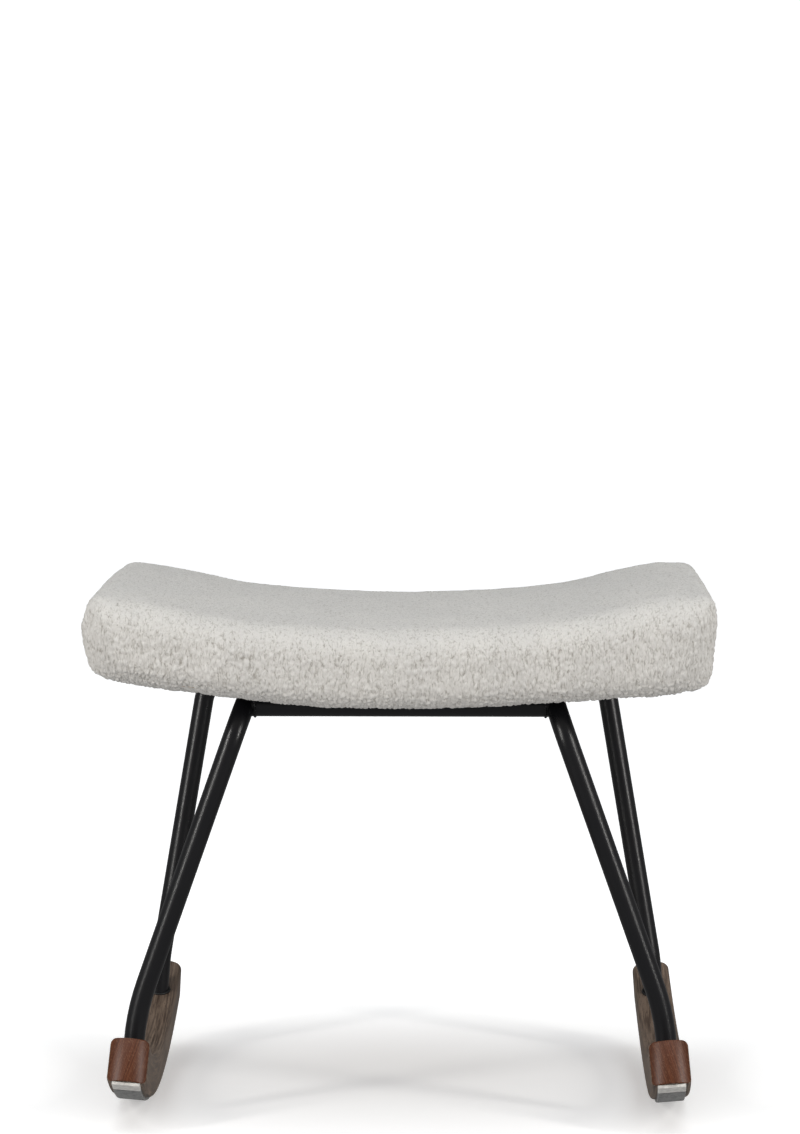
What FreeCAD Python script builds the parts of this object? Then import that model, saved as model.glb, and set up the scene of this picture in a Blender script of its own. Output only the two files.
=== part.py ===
import FreeCAD, Part
import math
import os
import Sketcher
from FreeCAD import Placement, Rotation, Vector

# Rocking footstool: a domed, saddle-shaped pad on a bent plywood shell, a frame of
# round steel tube and two solid wood rockers on felt.
# X runs across the stool, Y from front (minus) to back, Z up.
# The origin is on the floor, under the middle of the stool.

DIMENSIONS = {
    "rocker_radius": 474.0,       # under side of the wood, in the board's own plane
    "rocker_depth": 38.0,         # from the under side to the top, measured radially
    "rocker_width": 34.0,
    "rocker_length": 407.0,       # tip to tip along the under side
    "rocker_cant": 4.8,           # each board leans outward at the bottom, degrees
    "rocker_spread": 236.0,       # middle of the stool to the lowest point of a board
    "top_edge_round": 5.0,
    "low_edge_bevel": 2.0,
    "foot_reach": 138.0,          # middle of the stool to a tube foot, front or back
    "foot_hole": 18.4,
    "foot_depth": 24.0,
    "felt_width": 24.0,
    "felt_height": 3.0,
    "felt_gap": 1.2,
    "felt_inset": 3.0,            # from a rocker's tip to its first felt
    "tab_length": 20.0,
    "pad_length": 54.0,
    "tube_diameter": 18.0,
    "tube_wall": 1.5,
    "elbow_radius": 36.0,
    "foot_bend_radius": 200.0,
    "foot_bend_height": 97.0,
    "rail_height": 365.0,         # middle of the tubes under the seat
    "front_spread": 133.5,        # middle of the stool to a front elbow
    "rear_spread": 183.5,         # middle of the stool to a rear elbow
    "elbow_reach": 153.0,         # middle of the stool to an elbow, front or back
    "front_rail_reach": 128.0,    # middle of the stool to the front cross rail
    "front_rail_height": 362.6,
    "front_rail_half": 130.0,     # half its length before its ends are cut
    "collar_diameter": 22.0,
    "collar_height": 2.0,
    "shell_radius": 1400.0,       # under side of the bent plywood
    "shell_height": 375.0,        # its lowest line above the floor
    "shell_thickness": 12.0,
    "shell_width": 520.0,
    "shell_length": 392.0,
    "shell_corner": 42.0,
    "seat_width": 544.0,
    "seat_length": 416.0,
    "seat_middle": 67.0,          # height of the pad at its crown
    "seat_edge": 59.0,            # height of the pad at its front and back edge
    "seat_corner": 50.0,
    "seat_top_round": 30.0,
    "seat_low_round": 22.0,
    "cover_thickness": 4.0,
    "hem_width": 42.0,
    "cloth_thickness": 0.8,
    "bracket_reach": 88.0,        # middle of the stool to a seat bracket, front or back
    "bracket_length": 32.0,
    "bracket_flange": 33.0,
    "bracket_web": 22.0,
    "bracket_thickness": 3.0,
    "bolt_diameter": 6.0,
    "bolt_length": 29.0,
    "screw_length": 14.0,
    "plug_length": 20.0,
    "fit_gap": 0.3,               # play between parts that are pushed or screwed together
    "staple_width": 10.0,
    "staple_leg": 7.0,
    "staple_wire": 1.0,
}

doc = FreeCAD.newDocument("rocking_footstool")
sheet = doc.addObject("Spreadsheet::Sheet", "Sheet")
sheet.Label = "Sheet"
for row, (alias, value) in enumerate(DIMENSIONS.items(), start=1):
    sheet.set(f"A{row}", alias)
    sheet.set(f"B{row}", str(value))
    sheet.setAlias(f"B{row}", alias)
doc.recompute()

SIDES = {"left": -1, "right": 1}
ENDS = {"front": -1, "rear": 1}
nodes = []


def size(alias):
    return float(sheet.get(alias))


def keep(obj, label):
    """List a finished sub-part under the name of its file."""
    obj.Label = label
    nodes.append(obj)
    return obj


def bind(obj, **properties):
    """Bind properties of an object to cells of the sheet."""
    for name, formula in properties.items():
        obj.setExpression(name, formula)
    return obj


def new_body(name):
    return doc.addObject("PartDesign::Body", name)


def origin_plane(body, role):
    return next(f for f in body.Origin.OriginFeatures if f.Role == role)


def new_sketch(body, name, role, offset=None):
    """Sketch on one of the body's own origin planes."""
    sketch = body.newObject("Sketcher::SketchObject", name)
    sketch.AttachmentSupport = [(origin_plane(body, role), "")]
    sketch.MapMode = "FlatFace"
    if offset is not None:
        sketch.AttachmentOffset = offset
    return sketch


def arc_edge(centre, radius, start, end):
    """Arc for a sketch, from angle start to angle end in degrees."""
    circle = Part.Circle(Vector(centre[0], centre[1], 0), Vector(0, 0, 1), radius)
    return Part.ArcOfCircle(circle, math.radians(start), math.radians(end))


def limit(sketch, alias, kind, *places):
    """Add one dimension to a sketch and bind it to a cell or a formula."""
    row = sketch.addConstraint(Sketcher.Constraint(kind, *places))
    sketch.setExpression(f"Constraints[{row}]", alias)
    return row


def polar_strip(sketch, inner, outer, first, last, names):
    """Closed strip between two arcs about one centre on the sketch's upright axis.

    It runs from angle first to angle last, in degrees. names gives the formulas for the centre's
    height, both radii and, for a strip with two equal halves, the chord of the outer arc.
    """
    low = sketch.addGeometry(arc_edge((0, outer), outer, first, last))
    top = sketch.addGeometry(arc_edge((0, outer), inner, first, last))
    ends = []
    for point in (1, 2):
        line = Part.LineSegment(sketch.getPoint(low, point), sketch.getPoint(top, point))
        ends.append(sketch.addGeometry(line))
        sketch.addConstraint(Sketcher.Constraint("Coincident", low, point, ends[-1], 1))
        sketch.addConstraint(Sketcher.Constraint("Coincident", top, point, ends[-1], 2))
    sketch.addConstraint(Sketcher.Constraint("Coincident", low, 3, top, 3))
    sketch.addConstraint(Sketcher.Constraint("PointOnObject", low, 3, -2))
    limit(sketch, names["centre"], "DistanceY", -1, 1, low, 3, outer)
    limit(sketch, names["outer"], "Radius", low, outer)
    limit(sketch, names["inner"], "Radius", top, inner)
    if "chord" in names:
        sketch.addConstraint(Sketcher.Constraint("Symmetric", low, 1, low, 2, -2))
        for line in ends:
            sketch.addConstraint(Sketcher.Constraint("PointOnObject", low, 3, line))
        chord = 2 * outer * math.sin(math.radians(last - first) / 2)
        limit(sketch, names["chord"], "DistanceX", low, 1, low, 2, chord)
    return sketch


def pad(body, sketch, name, length, midplane=True):
    feature = body.newObject("PartDesign::Pad", name)
    feature.Profile = sketch
    feature.Midplane = midplane
    feature.setExpression("Length", length)
    doc.recompute()
    return feature


def pocket(body, sketch, name, length=None, midplane=False, reverse=False):
    """Cut a sketch out of its body and make sure that it removed something."""
    before = body.Shape.Volume
    feature = body.newObject("PartDesign::Pocket", name)
    feature.Profile = sketch
    feature.Midplane = midplane
    feature.Reversed = reverse
    if length is None:
        feature.Type = "ThroughAll"
    else:
        feature.setExpression("Length", length)
    doc.recompute()
    if not body.Shape.Volume < before - 1:
        raise RuntimeError(name + " cuts nothing")
    return feature


def round_edges(body, name, wanted, radius):
    """Round the edges of the body's tip for which wanted(edge) is true."""
    tip = body.Tip
    edges = [f"Edge{i}" for i, e in enumerate(tip.Shape.Edges, start=1) if wanted(e)]
    feature = body.newObject("PartDesign::Fillet", name)
    feature.Base = (tip, edges)
    feature.setExpression("Radius", radius)
    doc.recompute()
    return feature


def bevel_edges(body, name, wanted, width):
    """Bevel the edges of the body's tip for which wanted(edge) is true."""
    tip = body.Tip
    edges = [f"Edge{i}" for i, e in enumerate(tip.Shape.Edges, start=1) if wanted(e)]
    feature = body.newObject("PartDesign::Chamfer", name)
    feature.Base = (tip, edges)
    feature.setExpression("Size", width)
    doc.recompute()
    return feature


def circles(sketch, points, formula, radius):
    """Equal circles at points (x formula, y formula, x, y), bound to the sheet."""
    for x_formula, y_formula, x, y in points:
        row = sketch.addGeometry(Part.Circle(Vector(x, y, 0), Vector(0, 0, 1), radius))
        limit(sketch, formula, "Radius", row, radius)
        for kind, text, value in (("DistanceX", x_formula, x), ("DistanceY", y_formula, y)):
            if text == "0":
                axis = -2 if kind == "DistanceX" else -1
                sketch.addConstraint(Sketcher.Constraint("PointOnObject", row, 3, axis))
            elif value > 0:
                limit(sketch, text, kind, -1, 1, row, 3, value)
            else:
                limit(sketch, text, kind, row, 3, -1, 1, -value)
    return sketch


# Where a rocker board stands

CANT = math.radians(size("rocker_cant"))


def board_frame(side):
    """Placement of one rocker's own frame: origin at the lowest point of the wood, Z in the board."""
    lift = size("felt_width") / 2 * math.sin(CANT) + size("felt_height") * math.cos(CANT)
    base = Vector(side * size("rocker_spread"), 0, lift)
    return Placement(base, Rotation(Vector(0, 1, 0), -side * math.degrees(CANT)))


def board_point(side, y, z):
    return board_frame(side).multVec(Vector(0, y, z))


def arc_height(radius, y):
    """Height at distance y of an arc about the rocker's centre, in the board's plane."""
    return size("rocker_radius") - math.sqrt(radius ** 2 - y ** 2)


FOOT_FLOOR = (arc_height(size("rocker_radius") - size("rocker_depth"), size("foot_reach"))
              - size("foot_depth"))
HEAD_SEAT = arc_height(size("rocker_radius"), size("foot_reach")) + size("bolt_diameter")
HEAD_RADIUS = 1.92    # corner of a bolt's hexagon head, in thread radii
HEAD_HEIGHT = 4.0
DOWN = -90.0          # a sketch's angle straight below an arc's centre
# Two bevels, one over the other, give three faces that touch a round of the wanted radius.
FIRST_BEVEL = 0.586
SECOND_BEVEL = 0.215


# Rockers

def make_rocker(name, side):
    """Board cut on an arc, ends square to the arc, blind holes for the feet."""
    body = new_body(name)
    outline = new_sketch(body, name + "_outline", "YZ_Plane")
    outer = size("rocker_radius")
    inner = outer - size("rocker_depth")
    half = math.degrees(math.asin(size("rocker_length") / 2 / outer))
    polar_strip(outline, inner, outer, DOWN - half, DOWN + half, {
        "centre": "Sheet.rocker_radius",
        "outer": "Sheet.rocker_radius",
        "inner": "Sheet.rocker_radius - Sheet.rocker_depth",
        "chord": "Sheet.rocker_length"})
    pad(body, outline, name + "_board", "Sheet.rocker_width")

    def on_radius(edge, radius):
        return all(abs(Vector(0, v.Y, v.Z - outer).Length - radius) < 0.01 for v in edge.Vertexes)

    def low_edge(edge):
        return on_radius(edge, outer) and edge.Length > size("rocker_length")

    def top_edge(edge):
        return on_radius(edge, inner)

    def first_facet(edge):
        low = inner + FIRST_BEVEL * size("top_edge_round")
        along = edge.Length > 2 * size("rocker_width")
        return along and (on_radius(edge, inner) or on_radius(edge, low))

    bevel_edges(body, name + "_top_bevel", top_edge, f"{FIRST_BEVEL} * Sheet.top_edge_round")
    bevel_edges(body, name + "_top_round", first_facet, f"{SECOND_BEVEL} * Sheet.top_edge_round")
    bevel_edges(body, name + "_low_bevel", low_edge, "Sheet.low_edge_bevel")
    places = [("0", "Sheet.foot_reach", 0, end * size("foot_reach")) for end in (-1, 1)]
    feet = new_sketch(body, name + "_feet", "XY_Plane", Placement(Vector(0, 0, FOOT_FLOOR), Rotation()))
    circles(feet, places, "Sheet.foot_hole / 2", size("foot_hole") / 2)
    pocket(body, feet, name + "_foot_holes", "3 * Sheet.foot_depth", reverse=True)
    bolts = new_sketch(body, name + "_bolts", "XY_Plane")
    circles(bolts, places, "Sheet.bolt_diameter / 2 + Sheet.fit_gap",
            size("bolt_diameter") / 2 + size("fit_gap"))
    pocket(body, bolts, name + "_bolt_holes", "4 * Sheet.foot_depth", midplane=True)
    heads = new_sketch(body, name + "_heads", "XY_Plane", Placement(Vector(0, 0, HEAD_SEAT), Rotation()))
    circles(heads, places, "Sheet.bolt_diameter + 2 * Sheet.fit_gap",
            size("bolt_diameter") + 2 * size("fit_gap"))
    pocket(body, heads, name + "_head_recesses")
    body.Placement = board_frame(side)
    return keep(body, name)


# Felt under the rockers

def make_felt(name, side, start, end):
    """Strip of felt along the under side, from arc length start to end, middle at zero."""
    body = new_body(name)
    inner = size("rocker_radius")
    below = Placement(Vector(0, -size("felt_height"), 0), Rotation())
    outline = new_sketch(body, name + "_outline", "YZ_Plane", below)
    outline.setExpression("AttachmentOffset.Base.y", "-Sheet.felt_height")
    first, last = (DOWN + math.degrees(arc / inner) for arc in (start, end))
    polar_strip(outline, inner, inner + size("felt_height"), first, last, {
        "centre": "Sheet.rocker_radius + Sheet.felt_height",
        "outer": "Sheet.rocker_radius + Sheet.felt_height",
        "inner": "Sheet.rocker_radius"})
    pad(body, outline, name + "_strip", "Sheet.felt_width")
    body.Placement = board_frame(side)
    return keep(body, name)


def make_felts():
    """Pale tab at the front tip, a pad below each foot and a long runner between them."""
    tip = size("rocker_radius") * math.asin(size("rocker_length") / 2 / size("rocker_radius"))
    gap = size("felt_gap")
    tab_start = size("felt_inset") - tip
    tab_end = tab_start + size("tab_length")
    pad_end = tab_end + gap + size("pad_length")
    rear_end = tip - size("felt_inset")
    rear_start = rear_end - size("pad_length") - size("tab_length")
    for word, side in SIDES.items():
        make_felt("felt_tab_" + word, side, tab_start, tab_end)
        make_felt("felt_front_pad_" + word, side, tab_end + gap, pad_end)
        make_felt("felt_runner_" + word, side, pad_end + gap, rear_start - gap)
        make_felt("felt_rear_pad_" + word, side, rear_start, rear_end)


# Bent tubes

def bend_piece(start, along, centre, axis, turn, radius):
    """Bend of a round bar, through circles every 18 degrees or so."""
    steps = max(2, round(turn / math.radians(18)))
    rings = []
    for step in range(steps + 1):
        ring = Part.Wire(Part.makeCircle(radius, start, along))
        ring.rotate(centre, axis, math.degrees(turn * step / steps))
        rings.append(ring)
    return Part.makeLoft(rings, True, True)


def bent_tube(points, radii, radius):
    """Round bar along straight runs joined by bends: radii has one bend for each inner point."""
    pieces = []
    at = points[0]
    for corner, after, bend in zip(points[1:-1], points[2:], radii):
        before = (corner - at).normalize()
        leave = (after - corner).normalize()
        turn = before.getAngle(leave)
        setback = bend * math.tan(turn / 2)
        start = corner - before * setback
        pieces.append(Part.makeCylinder(radius, (start - at).Length, at, before))
        axis = before.cross(leave).normalize()
        centre = start + axis.cross(before) * bend
        pieces.append(bend_piece(start, before, centre, axis, turn, radius))
        at = corner + leave * setback
    last = points[-1] - at
    pieces.append(Part.makeCylinder(radius, last.Length, at, last))
    return pieces[0].fuse(pieces[1:]).removeSplitter()


def open_foot(tube, points):
    """Bore the foot of a tube to the depth of the plug that closes it."""
    bore = size("tube_diameter") / 2 - size("tube_wall")
    return tube.cut(Part.makeCylinder(bore, size("plug_length"), points[0], points[1] - points[0]))


def elbow_point(side, end):
    spread = size("front_spread") if end < 0 else size("rear_spread")
    return Vector(side * spread, end * size("elbow_reach"), size("rail_height"))


def leg_points(side, end):
    """Foot, foot bend and elbow of one leg, upward."""
    reach = end * size("foot_reach")
    foot = board_point(side, reach, FOOT_FLOOR + size("fit_gap"))
    upright = size("foot_bend_height") - board_frame(side).Base.z
    bend = board_point(side, reach, upright / math.cos(CANT))
    return [foot, bend, elbow_point(side, end)]


def leg_bends():
    return [size("foot_bend_radius"), size("elbow_radius")]


def make_front_leg(name, side):
    """One tube: foot, front leg, elbow, then straight back under the seat to the rear frame."""
    radius = size("tube_diameter") / 2
    back = Vector(side * size("front_spread"), size("elbow_reach"), size("rail_height"))
    points = leg_points(side, -1) + [back]
    tube = open_foot(bent_tube(points, leg_bends(), radius), points)
    saddle = Part.makeCylinder(radius, 4 * size("rear_spread"),
                               Vector(-2 * size("rear_spread"), back.y, back.z), Vector(1, 0, 0))
    leg = doc.addObject("Part::Feature", name)
    leg.Shape = tube.cut(saddle).Solids[0]
    return keep(leg, name)


def make_rear_frame(name):
    """One tube: left foot and leg, across under the seat, right leg and foot."""
    points = leg_points(-1, 1) + leg_points(1, 1)[::-1]
    frame = doc.addObject("Part::Feature", name)
    tube = bent_tube(points, leg_bends() + leg_bends()[::-1], size("tube_diameter") / 2)
    frame.Shape = open_foot(open_foot(tube, points), points[::-1]).Solids[0]
    return keep(frame, name)


def make_front_rail(name):
    """Straight tube between the front elbows, its ends cut to sit on them."""
    tube = bind(doc.addObject("Part::Cylinder", name + "_tube"),
                Radius="Sheet.tube_diameter / 2", Height="2 * Sheet.front_rail_half")
    start = Vector(-size("front_rail_half"), -size("front_rail_reach"), size("front_rail_height"))
    tube.Placement = Placement(start, Rotation(Vector(0, 1, 0), 90))
    back = Vector(0, size("elbow_reach"), 0)
    seats = doc.addObject("Part::Feature", name + "_seats")
    seats.Shape = Part.makeCompound([
        bent_tube(leg_points(side, -1) + [elbow_point(side, -1) + back], leg_bends(),
                  size("tube_diameter") / 2) for side in SIDES.values()])
    rail = doc.addObject("Part::Cut", name)
    rail.Base = tube
    rail.Tool = seats
    doc.recompute()
    return keep(rail, name)


# Feet of the tubes

COLLAR_SIDES = 16


def group(name, shapes):
    """Several equal small pieces that share one node."""
    feature = doc.addObject("Part::Feature", name)
    feature.Shape = shapes[0] if len(shapes) == 1 else Part.makeCompound(shapes)
    return keep(feature, name)


def each_foot():
    for word, side in SIDES.items():
        for end_word, end in ENDS.items():
            yield f"{end_word}_{word}", side, end


def prism(radius, low, high, sides):
    """Regular upright prism about Z with its corners on the given radius."""
    step = 2 * math.pi / sides
    corners = [Vector(radius * math.cos(step * k), radius * math.sin(step * k), low) for k in range(sides)]
    return Part.Face(Part.makePolygon(corners + corners[:1])).extrude(Vector(0, 0, high - low))


def stacked(placement, steps, bore=0.0):
    """Small turned piece: prisms of (radius, low, high, sides) on one axis, with an optional bore."""
    solid = prism(*steps[0])
    for step in steps[1:]:
        solid = solid.fuse(prism(*step))
    if bore:
        low = min(step[1] for step in steps) - 1
        high = max(step[2] for step in steps) + 1
        solid = solid.cut(prism(bore, low, high, 8))
    solid = solid.removeSplitter()
    solid.Placement = placement
    return solid


def bolt_steps(length):
    """Hexagon head and shank of a bolt whose head bears at height zero."""
    thread = size("bolt_diameter") / 2
    return [(HEAD_RADIUS * thread, -HEAD_HEIGHT, 0, 6), (thread, -HEAD_HEIGHT / 2, length, 8)]


def foot_placement(side, end, z):
    return board_frame(side).multiply(Placement(Vector(0, end * size("foot_reach"), z), Rotation()))


def make_collars():
    """Thin black ring round each foot, lying on the sloping top of the rocker."""
    inner = size("rocker_radius") - size("rocker_depth")
    tilt = math.degrees(math.asin(size("foot_reach") / inner))
    top = arc_height(inner, size("foot_reach"))
    high = size("collar_height")
    hole = size("tube_diameter") / 2 / math.cos(math.pi / COLLAR_SIDES) + size("fit_gap") / 2
    for word, side, end in each_foot():
        slope = Placement(Vector(0, end * size("foot_reach"), top), Rotation(Vector(1, 0, 0), end * tilt))
        ring = prism(size("collar_diameter") / 2, size("fit_gap") / 2, high, COLLAR_SIDES)
        ring.Placement = board_frame(side).multiply(slope)
        core = prism(hole, -10 * high, 10 * high, COLLAR_SIDES)
        core.Placement = foot_placement(side, end, top)
        collar = doc.addObject("Part::Feature", "foot_collar_" + word)
        collar.Shape = ring.cut(core).Solids[0]
        keep(collar, "foot_collar_" + word)


def make_foot_fixings():
    """Threaded plug in each tube end, and the bolt that comes up through the rocker."""
    bore = size("tube_diameter") / 2 - size("tube_wall")
    thread = size("bolt_diameter") / 2
    plug = [(bore, 0, size("plug_length"), 12)]
    plugs = []
    bolts = []
    for _, side, end in each_foot():
        floor = foot_placement(side, end, FOOT_FLOOR + size("fit_gap"))
        plugs.append(stacked(floor, plug, thread + size("fit_gap")))
        bolts.append(stacked(foot_placement(side, end, HEAD_SEAT), bolt_steps(size("bolt_length"))))
    group("threaded_plugs", plugs)
    group("rocker_bolts", bolts)


# Seat shell

INSERT_WALL = 2.0     # of the threaded inserts in the plywood


def shell_z(x, drop=0.0):
    """Height at x of an arc drop below the under side of the plywood."""
    radius = size("shell_radius") + drop
    return size("shell_height") + size("shell_radius") - math.sqrt(radius ** 2 - x ** 2)


def bracket_holes():
    """Distance across the stool and tilt of the seat screws on each side."""
    reach = size("front_spread") - size("tube_diameter") / 2 - size("bracket_flange") / 2 - 1
    return reach, math.degrees(math.asin(reach / size("shell_radius")))


def make_shell(name):
    """Plywood bent to a shallow trough, round corners, four holes for the threaded inserts."""
    body = new_body(name)
    outline = new_sketch(body, name + "_outline", "XZ_Plane",
                         Placement(Vector(0, size("shell_height"), 0), Rotation()))
    outer = size("shell_radius")
    half = math.degrees(math.asin(size("shell_width") / 2 / outer))
    polar_strip(outline, outer - size("shell_thickness"), outer, DOWN - half, DOWN + half, {
        "centre": "Sheet.shell_radius",
        "outer": "Sheet.shell_radius",
        "inner": "Sheet.shell_radius - Sheet.shell_thickness",
        "chord": "Sheet.shell_width"})
    outline.setExpression("AttachmentOffset.Base.y", "Sheet.shell_height")
    pad(body, outline, name + "_board", "Sheet.shell_length")

    def corner(edge):
        middle = edge.CenterOfMass
        return (abs(abs(middle.y) - size("shell_length") / 2) < 0.1
                and edge.Length < 1.5 * size("shell_thickness"))

    round_edges(body, name + "_corners", corner, "Sheet.shell_corner")
    reach, tilt = bracket_holes()
    for word, side in SIDES.items():
        turn = Rotation(Vector(0, 1, 0), -side * tilt)
        base = Vector(side * reach, 0, shell_z(reach) - size("shell_thickness"))
        sketch = new_sketch(body, f"{name}_holes_{word}", "XY_Plane", Placement(base, turn))
        places = [("0", "Sheet.bracket_reach", 0, end * size("bracket_reach")) for end in (-1, 1)]
        circles(sketch, places, f"Sheet.bolt_diameter / 2 + {INSERT_WALL}",
                size("bolt_diameter") / 2 + INSERT_WALL)
        pocket(body, sketch, f"{name}_holes_cut_{word}", "4 * Sheet.shell_thickness", reverse=True)
    return keep(body, name)


# Seat brackets and their fasteners

def make_bracket(name, side, end):
    """Folded steel angle: web welded to the rail, flange up against the plywood."""
    body = new_body(name)
    rail_side = size("front_spread") - size("tube_diameter") / 2
    thick = size("bracket_thickness")
    tip = rail_side - size("bracket_flange")
    drop = size("cloth_thickness") + size("fit_gap") / 3
    top_tip = Vector(side * tip, shell_z(tip, drop), 0)
    top_corner = Vector(side * rail_side, shell_z(rail_side, drop), 0)
    low = top_corner.y - size("bracket_web")
    under = Vector(0, -thick, 0)
    points = [top_tip, top_corner, Vector(side * rail_side, low, 0),
              Vector(side * (rail_side - thick), low, 0),
              Vector(side * (rail_side - thick), top_corner.y - thick - size("fit_gap"), 0), top_tip + under]
    outline = new_sketch(body, name + "_outline", "XZ_Plane")
    for start, stop in zip(points, points[1:] + points[:1]):
        outline.addGeometry(Part.LineSegment(start, stop))
    for row in range(len(points)):
        outline.addConstraint(Sketcher.Constraint("Coincident", row, 2, (row + 1) % len(points), 1))
    pad(body, outline, name + "_strip", "Sheet.bracket_length")

    def fold(edge, x):
        middle = edge.CenterOfMass
        return (abs(middle.x - side * x) < 0.05 and abs(middle.y) < 0.05
                and middle.z > top_corner.y - thick - 1)

    round_edges(body, name + "_outer_fold", lambda e: fold(e, rail_side), "1.6 * Sheet.bracket_thickness")
    round_edges(body, name + "_inner_fold", lambda e: fold(e, rail_side - thick),
                "0.6 * Sheet.bracket_thickness")
    reach, tilt = bracket_holes()
    turn = Rotation(Vector(0, 1, 0), -side * tilt)
    base = Vector(side * reach, 0, shell_z(reach) - 2 * thick)
    hole = new_sketch(body, name + "_hole", "XY_Plane", Placement(base, turn))
    circles(hole, [("0", "0", 0, 0)], "Sheet.bolt_diameter / 2 + Sheet.fit_gap",
            size("bolt_diameter") / 2 + size("fit_gap"))
    pocket(body, hole, name + "_screw_hole", "4 * Sheet.bracket_thickness", reverse=True)
    body.Placement = Placement(Vector(0, end * size("bracket_reach"), 0), Rotation())
    return keep(body, name)


def make_seat_fixings():
    """Threaded insert in the plywood and screw from below, at each bracket."""
    thread = size("bolt_diameter") / 2
    reach, tilt = bracket_holes()
    below = size("cloth_thickness") + size("bracket_thickness") + size("fit_gap") / 2
    insert = [(thread + INSERT_WALL - size("fit_gap"), 0, size("shell_thickness") - 1.5, 12)]
    inserts = []
    screws = []
    for _, side, end in each_foot():
        turn = Rotation(Vector(0, 1, 0), -side * tilt)
        base = Vector(side * reach, end * size("bracket_reach"), shell_z(reach))

        def level(height):
            return Placement(base + turn.multVec(Vector(0, 0, height)), turn)

        inserts.append(stacked(level(0.5), insert, thread + size("fit_gap")))
        screws.append(stacked(level(-below), bolt_steps(size("screw_length"))))
    group("threaded_inserts", inserts)
    group("seat_screws", screws)


# Pad and cover

BEND_CENTRE = size("shell_height") + size("shell_radius")
END_FLAT = 2.0    # how much of its roundings' reach each end stops short of
# Where the loft's outlines stand: distances from an end, close together where the end rounds off.
OUTER_STATIONS = (0.0, 5.0, 14.0, 28.0, 50.0, 124.0, 198.0)
INNER_STATIONS = (0.0, 8.0, 24.0, 46.0, 158.0)


def corner_drop(radius, distance):
    """How far a quarter-round corner has fallen away at a distance from its end."""
    if distance >= radius:
        return 0.0
    return radius - math.sqrt(radius ** 2 - (radius - distance) ** 2)


def arc_through(*points):
    return Part.Arc(*[Vector(0, y, z) for y, z in points]).toShape()


def pad_section(along, inset):
    """Closed outline of the pad, front to back, at an arc length from its middle.

    Flat under side, crowned top, four well rounded edges.
    Towards the pad's ends the outline shrinks, which rounds its corners and end edges.
    """
    distance = size("seat_width") / 2 + END_FLAT - inset - abs(along)
    top_round = size("seat_top_round") - inset
    low_round = size("seat_low_round") - inset
    top_drop = corner_drop(top_round, distance)
    low_drop = corner_drop(low_round, distance)
    length = size("seat_length") / 2 - inset - corner_drop(size("seat_corner") - inset, distance)
    under = size("shell_height") - size("cover_thickness")
    low = under + inset + low_drop
    top = under + size("seat_middle") - inset - top_drop
    edge = top - size("seat_middle") + size("seat_edge")
    upper = top_round - top_drop
    lower = low_round - low_drop
    slant = 1 - math.sqrt(0.5)
    back = [
        arc_through((length - lower, low), (length - lower * slant, low + lower * slant),
                    (length, low + lower)),
        Part.makeLine(Vector(0, length, low + lower), Vector(0, length, edge - upper)),
        arc_through((length, edge - upper), (length - upper * slant, edge - upper * slant),
                    (length - upper, edge))]
    crown = arc_through((length - upper, edge), (0, top), (upper - length, edge))
    front = [part.mirror(Vector(0, 0, 0), Vector(0, 1, 0)) for part in reversed(back)]
    base = Part.makeLine(Vector(0, lower - length, low), Vector(0, length - lower, low))
    outline = Part.Wire([base] + back + [crown] + front)
    turn = math.degrees(along / (size("shell_radius") - size("seat_middle") / 2))
    outline.rotate(Vector(0, 0, BEND_CENTRE), Vector(0, 1, 0), -turn)
    return outline


def pad_form(inset, distances):
    """The pad's whole form, drawn in by inset all round, through outlines at distances from its ends."""
    half = size("seat_width") / 2 - inset
    stations = sorted({half - d for d in distances} | {d - half for d in distances} | {0.0})
    return Part.makeLoft([pad_section(along, inset) for along in stations], True, True)


def rounded_prism(width, length, corner, low, high):
    """Upright block with rounded corners in plan."""
    block = Part.makeBox(width, length, high - low, Vector(-width / 2, -length / 2, low))
    return block.makeFillet(corner, [e for e in block.Edges if e.BoundBox.ZLength > 1])


def make_pad(cover_name, foam_name):
    """Cover with its hem turned under the plywood, and the foam that fills it."""
    outer = pad_form(0.0, OUTER_STATIONS)
    inner = pad_form(size("cover_thickness"), INNER_STATIONS)
    opening = rounded_prism(size("seat_width") - 2 * size("hem_width"),
                            size("seat_length") - 2 * size("hem_width"),
                            size("seat_corner") - size("hem_width") / 2,
                            size("shell_height") - size("seat_middle"),
                            size("shell_height") + size("seat_middle") / 2)
    cover = doc.addObject("Part::Feature", cover_name)
    cover.Shape = outer.cut(inner).cut(opening).Solids[0]
    keep(cover, cover_name)
    above = Part.makeCylinder(size("shell_radius") - size("shell_thickness"), 2 * size("seat_length"),
                              Vector(0, -size("seat_length"), BEND_CENTRE), Vector(0, 1, 0))
    foam = doc.addObject("Part::Feature", foam_name)
    foam.Shape = inner.common(above).Solids[0]
    return keep(foam, foam_name)


def make_dust_cover(name):
    """Thin cloth over the under side of the plywood, inside the hem."""
    body = new_body(name)
    outline = new_sketch(body, name + "_outline", "XZ_Plane")
    outline.setExpression("AttachmentOffset.Base.y", "Sheet.shell_height - Sheet.cloth_thickness")
    inner = size("shell_radius")
    outer = inner + size("cloth_thickness")
    width = size("seat_width") - 2 * size("hem_width") - 2
    half = math.degrees(math.asin(width / 2 / outer))
    polar_strip(outline, inner, outer, DOWN - half, DOWN + half, {
        "centre": "Sheet.shell_radius + Sheet.cloth_thickness",
        "outer": "Sheet.shell_radius + Sheet.cloth_thickness",
        "inner": "Sheet.shell_radius",
        "chord": "Sheet.seat_width - 2 * Sheet.hem_width - 2"})
    pad(body, outline, name + "_cloth", "Sheet.seat_length - 2 * Sheet.hem_width - 2")

    def corner(edge):
        return edge.Length < 3 * size("cloth_thickness") and abs(edge.CenterOfMass.y) > 1

    round_edges(body, name + "_corners", corner, "Sheet.seat_corner - Sheet.hem_width / 2")
    return keep(body, name)


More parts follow.
